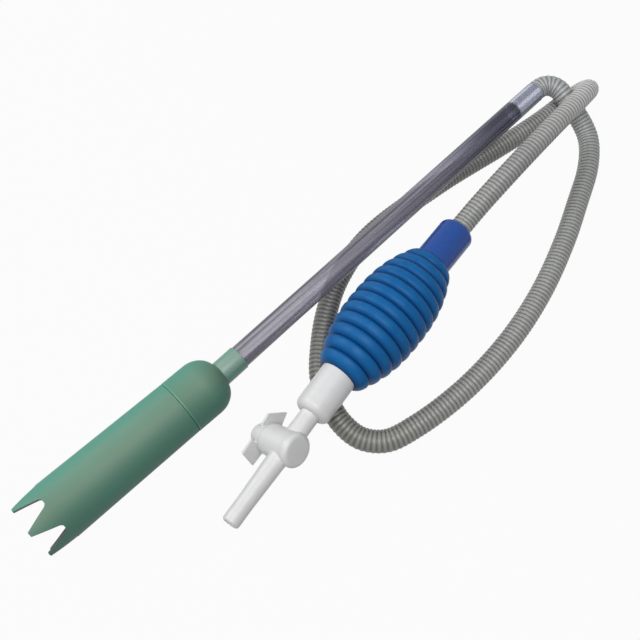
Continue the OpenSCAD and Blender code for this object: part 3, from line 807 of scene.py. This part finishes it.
def soften(piece, voxel, passes):
    """Rounds every edge and inner corner a little, as a mould does."""
    pick(piece)
    remesh = piece.modifiers.new("skin", "REMESH")
    remesh.mode = "VOXEL"
    remesh.voxel_size = voxel
    bpy.ops.object.modifier_apply(modifier=remesh.name)
    smooth = piece.modifiers.new("soft", "SMOOTH")
    smooth.factor = 0.5
    smooth.iterations = passes
    bpy.ops.object.modifier_apply(modifier=smooth.name)


def drill(outline, place, steps):
    """A stepped round cutter along the place's Z, closed flat at both ends of the outline."""
    start, end = outline[0][1], outline[-1][1]
    cutter = turn("drill", [(0, start), *outline, (0, end)], steps)
    settle(cutter, place)
    return cutter


stopcock_body = turn("white_stopcock_body", [
    (0, NECK_FROM), (STOPCOCK_NECK_R, NECK_FROM), (STOPCOCK_NECK_R, PLUG_AT), (SPIGOT_ROOT_R, PLUG_AT),
    (SPIGOT_R, TIP_AT - SPIGOT_LAND),
    *arc((SPIGOT_R - SPIGOT_TIP_R, TIP_AT - SPIGOT_TIP_R), SPIGOT_TIP_R, 0, 90), (0, TIP_AT),
])
settle(stopcock_body, outlet_place)
barrel = turn("barrel", [
    (0, BARREL_REAR), (BARREL_REAR_R, BARREL_REAR), (BARREL_R, BARREL_REAR + BARREL_CHAMFER),
    (BARREL_FLARE_R, BARREL_FLARE), (BARREL_RIM_R, BARREL_RIM), (BARREL_RIM_R, BARREL_FRONT),
    (0, BARREL_FRONT),
])
settle(barrel, plug_place)
combine(stopcock_body, barrel, "UNION")
water_way = drill([
    (NECK_BORE_R, NECK_FROM - DRILL_PAST), (NECK_BORE_R, PLUG_AT - BORE_STEP),
    (WATER_WAY_R, PLUG_AT + BORE_STEP), (WATER_WAY_R, TIP_AT + DRILL_PAST)], outlet_place, steps=52)
combine(stopcock_body, water_way, "DIFFERENCE")
plug_bore = drill([
    (PLUG_BORE_R, BARREL_REAR - DRILL_PAST), (PLUG_BORE_R, CLIP_ROOM_FROM),
    (CLIP_ROOM_R, CLIP_ROOM_FROM), (CLIP_ROOM_R, BARREL_FRONT + DRILL_PAST)], plug_place, steps=44)
combine(stopcock_body, plug_bore, "DIFFERENCE")
soften(stopcock_body, voxel=0.00036, passes=7)
coat(stopcock_body, white_skin)
settle(stopcock_body, Matrix.Identity(4), smooth_angle=60)
stand_for(stopcock_body, "stopcock_body", "siphon")


# Stopcock key: plug, knob and a flat winged lever in one white polypropylene moulding. It turns a
# quarter turn in the barrel, sealed by two O-rings and kept in by a split clip behind the cap.

LEVER_OUTLINE_MM = [(7.2, -18.5), (-6.4, -18.2), (-9.2, 11.6), (3.1, 21.8), (6.8, 12.0)]
LEVER_T = 0.0017
LEVER_BLANK = 0.06
WAIST_FROM = -0.0074
WAIST_TO = 0.0029
WAIST_EDGE = -0.004
WAIST_REACH = 0.016
WAIST_HEIGHT = 0.01
BOSS_R = 0.0078
BOSS_END = -0.0205
BOSS_FROM = -0.0167
KNOB_FROM = BOSS_END - 0.001
KNOB_R = 0.007
KNOB_END = -0.0275
KNOB_ROUND = 0.0018
PLUG_R = 0.0069
PLUG_REAR = BOSS_FROM - 0.001
PLUG_NOSE_R = 0.0056
PLUG_END = 0.0066
SEAL_GROOVES = [(-0.013, -0.011), (-0.008, -0.006)]
SEAL_ROOT_R = 0.0052
CLIP_GROOVE = (0.0044, 0.0058)
CLIP_ROOT_R = 0.005
KEY_WAY_R = 0.0039
KEY_WAY_HALF = 0.01

bpy.ops.object.select_all(action="DESELECT")
bpy.ops.mesh.primitive_cube_add(size=1)
lever = bpy.context.object
lever.name = "lever"
lever.scale = (LEVER_BLANK, LEVER_BLANK, LEVER_T)
lever.location = (0, 0, BOSS_END - LEVER_T / 2)
bpy.ops.object.transform_apply(location=True, rotation=True, scale=True)
bpy.ops.object.mode_set(mode="EDIT")
corners = [(x / 1000, y / 1000) for x, y in LEVER_OUTLINE_MM]
for (x_a, y_a), (x_b, y_b) in zip(corners, corners[1:] + corners[:1]):
    bpy.ops.mesh.select_all(action="SELECT")
    bpy.ops.mesh.bisect(plane_co=(x_a, y_a, 0), plane_no=(y_a - y_b, x_b - x_a, 0),
                        use_fill=True, clear_outer=True)
bpy.ops.mesh.select_all(action="SELECT")
bpy.ops.mesh.normals_make_consistent(inside=False)
bpy.ops.object.mode_set(mode="OBJECT")
bpy.ops.object.select_all(action="DESELECT")
bpy.ops.mesh.primitive_cube_add(size=1)
waist = bpy.context.object
waist.scale = (WAIST_REACH, WAIST_TO - WAIST_FROM, WAIST_HEIGHT)
waist.location = (WAIST_EDGE - WAIST_REACH / 2, (WAIST_FROM + WAIST_TO) / 2, BOSS_END)
bpy.ops.object.transform_apply(location=True, rotation=True, scale=True)
combine(lever, waist, "DIFFERENCE")
boss = turn("boss", [
    (0, KNOB_END), *arc((KNOB_R - KNOB_ROUND, KNOB_END + KNOB_ROUND), KNOB_ROUND, -90, 0),
    (KNOB_R, KNOB_FROM), (BOSS_R, KNOB_FROM), (BOSS_R, BOSS_FROM), (0, BOSS_FROM),
])
combine(lever, boss, "UNION")
soften(lever, voxel=0.00025, passes=3)

seal_steps = []
for groove_from, groove_to in SEAL_GROOVES:
    seal_steps += [(PLUG_R, groove_from), (SEAL_ROOT_R, groove_from),
                   (SEAL_ROOT_R, groove_to), (PLUG_R, groove_to)]
plug = turn("white_stopcock_key", [
    (0, PLUG_REAR), (PLUG_R, PLUG_REAR), *seal_steps, (PLUG_R, CLIP_GROOVE[0]),
    (CLIP_ROOT_R, CLIP_GROOVE[0]), (CLIP_ROOT_R, CLIP_GROOVE[1]), (PLUG_NOSE_R, CLIP_GROOVE[1]),
    (PLUG_NOSE_R, PLUG_END), (0, PLUG_END),
])
key_way = drill([(KEY_WAY_R, -KEY_WAY_HALF), (KEY_WAY_R, KEY_WAY_HALF)],
                Matrix.Rotation(math.pi / 2, 4, "X"), steps=48)
combine(plug, key_way, "DIFFERENCE")
bpy.ops.object.select_all(action="DESELECT")
lever.select_set(True)
plug.select_set(True)
bpy.context.view_layer.objects.active = plug
bpy.ops.object.join()
coat(plug, white_skin)
settle(plug, plug_place, smooth_angle=50)
stand_for(plug, "stopcock_key", "stopcock_key")

coat(nodes["plug_o_rings"], moulded_rubber("moulded_seal_rubber", "#141415"))
coat(nodes["plug_clip"], white_polypropylene("grey_acetal", "#c9c9c6", 0.3))


# Stopcock cap: the round front cap that closes the barrel, a white polypropylene moulding with a
# rounded rim. A short ring on its back is pressed into the barrel in front of the clip.

FRONT_CAP_R = 0.0113
FRONT_CAP_END = 0.0106
FRONT_CAP_ROUND = 0.003
CAP_RIM_ROUND = 0.0003
CAP_RING_R = 0.00875
CAP_RING_BORE_R = 0.00755
CAP_RING_END = BARREL_FRONT - 0.0012
CAP_HOLLOW_END = BARREL_FRONT + 0.0006
cap_rim_r = FRONT_CAP_R - CAP_RIM_ROUND
stopcock_cap = turn("white_stopcock_cap", [
    (0, CAP_HOLLOW_END), (CAP_RING_BORE_R, CAP_HOLLOW_END), (CAP_RING_BORE_R, CAP_RING_END),
    (CAP_RING_R, CAP_RING_END), (CAP_RING_R, BARREL_FRONT), (cap_rim_r, BARREL_FRONT),
    *arc((cap_rim_r, BARREL_FRONT + CAP_RIM_ROUND), CAP_RIM_ROUND, -90, 0, 4),
    *arc((FRONT_CAP_R - FRONT_CAP_ROUND, FRONT_CAP_END - FRONT_CAP_ROUND), FRONT_CAP_ROUND, 0, 90, 8),
    (0, FRONT_CAP_END),
])
coat(stopcock_cap, white_skin)
settle(stopcock_cap, plug_place)
stand_for(stopcock_cap, "stopcock_cap", "siphon")


# Studio: a plain white table, a large soft light above, a weaker one from the far side, and a
# camera at the photograph's angle.

TABLE_SIZE = 6
TABLE_Z = -0.0003
TABLE_GLOW = 0.955
LIGHTS_AIM = (0.02, -0.02, 0.0)
CAMERA_AT = (-0.1835, -0.15695, 0.508)
CAMERA_HEADING = (0.701, 0.713)
CAMERA_DOWN = math.radians(64)
PHOTO_SIZE = 640
FOCAL_PIXELS = 800
SENSOR = 36.0

bpy.ops.object.select_all(action="DESELECT")
bpy.ops.mesh.primitive_plane_add(size=TABLE_SIZE, location=(0, 0, TABLE_Z))
table = bpy.context.object
table.name = "table"
bpy.ops.object.transform_apply(location=True, rotation=True, scale=True)


def seen_share(tree, most):
    """The most for rays that the eye follows, straight, mirrored or through glass, else 0."""
    paths = add_node(tree, "ShaderNodeLightPath")
    seen = add_node(tree, "ShaderNodeMath", {"operation": "MAXIMUM"},
                    {0: paths.outputs["Is Camera Ray"], 1: paths.outputs["Is Transmission Ray"]})
    either = add_node(tree, "ShaderNodeMath", {"operation": "MAXIMUM"},
                      {0: seen.outputs[0], 1: paths.outputs["Is Glossy Ray"]})
    share = add_node(tree, "ShaderNodeMath", {"operation": "MULTIPLY", 1: most}, {0: either.outputs[0]})
    return share.outputs[0]


table_paper, tree = start_material("white_table_paper")
paper = add_node(tree, "ShaderNodeBsdfDiffuse", {"Color": linear("#929291")})
glow = add_node(tree, "ShaderNodeEmission", {"Color": linear("#ffffff"), "Strength": 1.0})
lit_paper = add_node(tree, "ShaderNodeMixShader", {},
                     {0: seen_share(tree, TABLE_GLOW), 1: paper.outputs[0], 2: glow.outputs[0]})
add_node(tree, "ShaderNodeOutputMaterial", {}, {"Surface": lit_paper.outputs[0]})
table.data.materials.append(table_paper)

world = bpy.data.worlds.new("studio")
bpy.context.scene.world = world
world.use_nodes = True
tree = world.node_tree
tree.nodes.clear()
room = add_node(tree, "ShaderNodeBackground", {"Color": linear("#e8ecf2"), "Strength": 0.15})
white = add_node(tree, "ShaderNodeBackground", {"Color": linear("#ffffff"), "Strength": 0.98})
sky = add_node(tree, "ShaderNodeMixShader", {},
               {0: seen_share(tree, 1.0), 1: room.outputs[0], 2: white.outputs[0]})
add_node(tree, "ShaderNodeOutputWorld", {}, {"Surface": sky.outputs[0]})


def soft_light(name, location, size, power):
    """A square area light that faces the middle of the part."""
    bpy.ops.object.light_add(type="AREA", location=location)
    light = bpy.context.object
    light.name = name
    light.data.size = size
    light.data.energy = power
    light.rotation_euler = (Vector(LIGHTS_AIM) - Vector(location)).to_track_quat("-Z", "Y").to_euler()


soft_light("key", location=(-0.28, -0.2, 1.2), size=0.8, power=10.4)
soft_light("edge", location=(-0.3, 0.9, 0.7), size=0.6, power=5.0)

bpy.ops.object.camera_add(location=CAMERA_AT)
camera = bpy.context.object
camera.data.sensor_fit = "HORIZONTAL"
camera.data.sensor_width = SENSOR
camera.data.lens = SENSOR * FOCAL_PIXELS / PHOTO_SIZE
camera.data.clip_start = 0.01
look = Vector((CAMERA_HEADING[0] * math.cos(CAMERA_DOWN), CAMERA_HEADING[1] * math.cos(CAMERA_DOWN),
               -math.sin(CAMERA_DOWN)))
camera.rotation_euler = look.to_track_quat("-Z", "Y").to_euler()
bpy.context.scene.camera = camera
bpy.context.scene.view_settings.view_transform = "Standard"
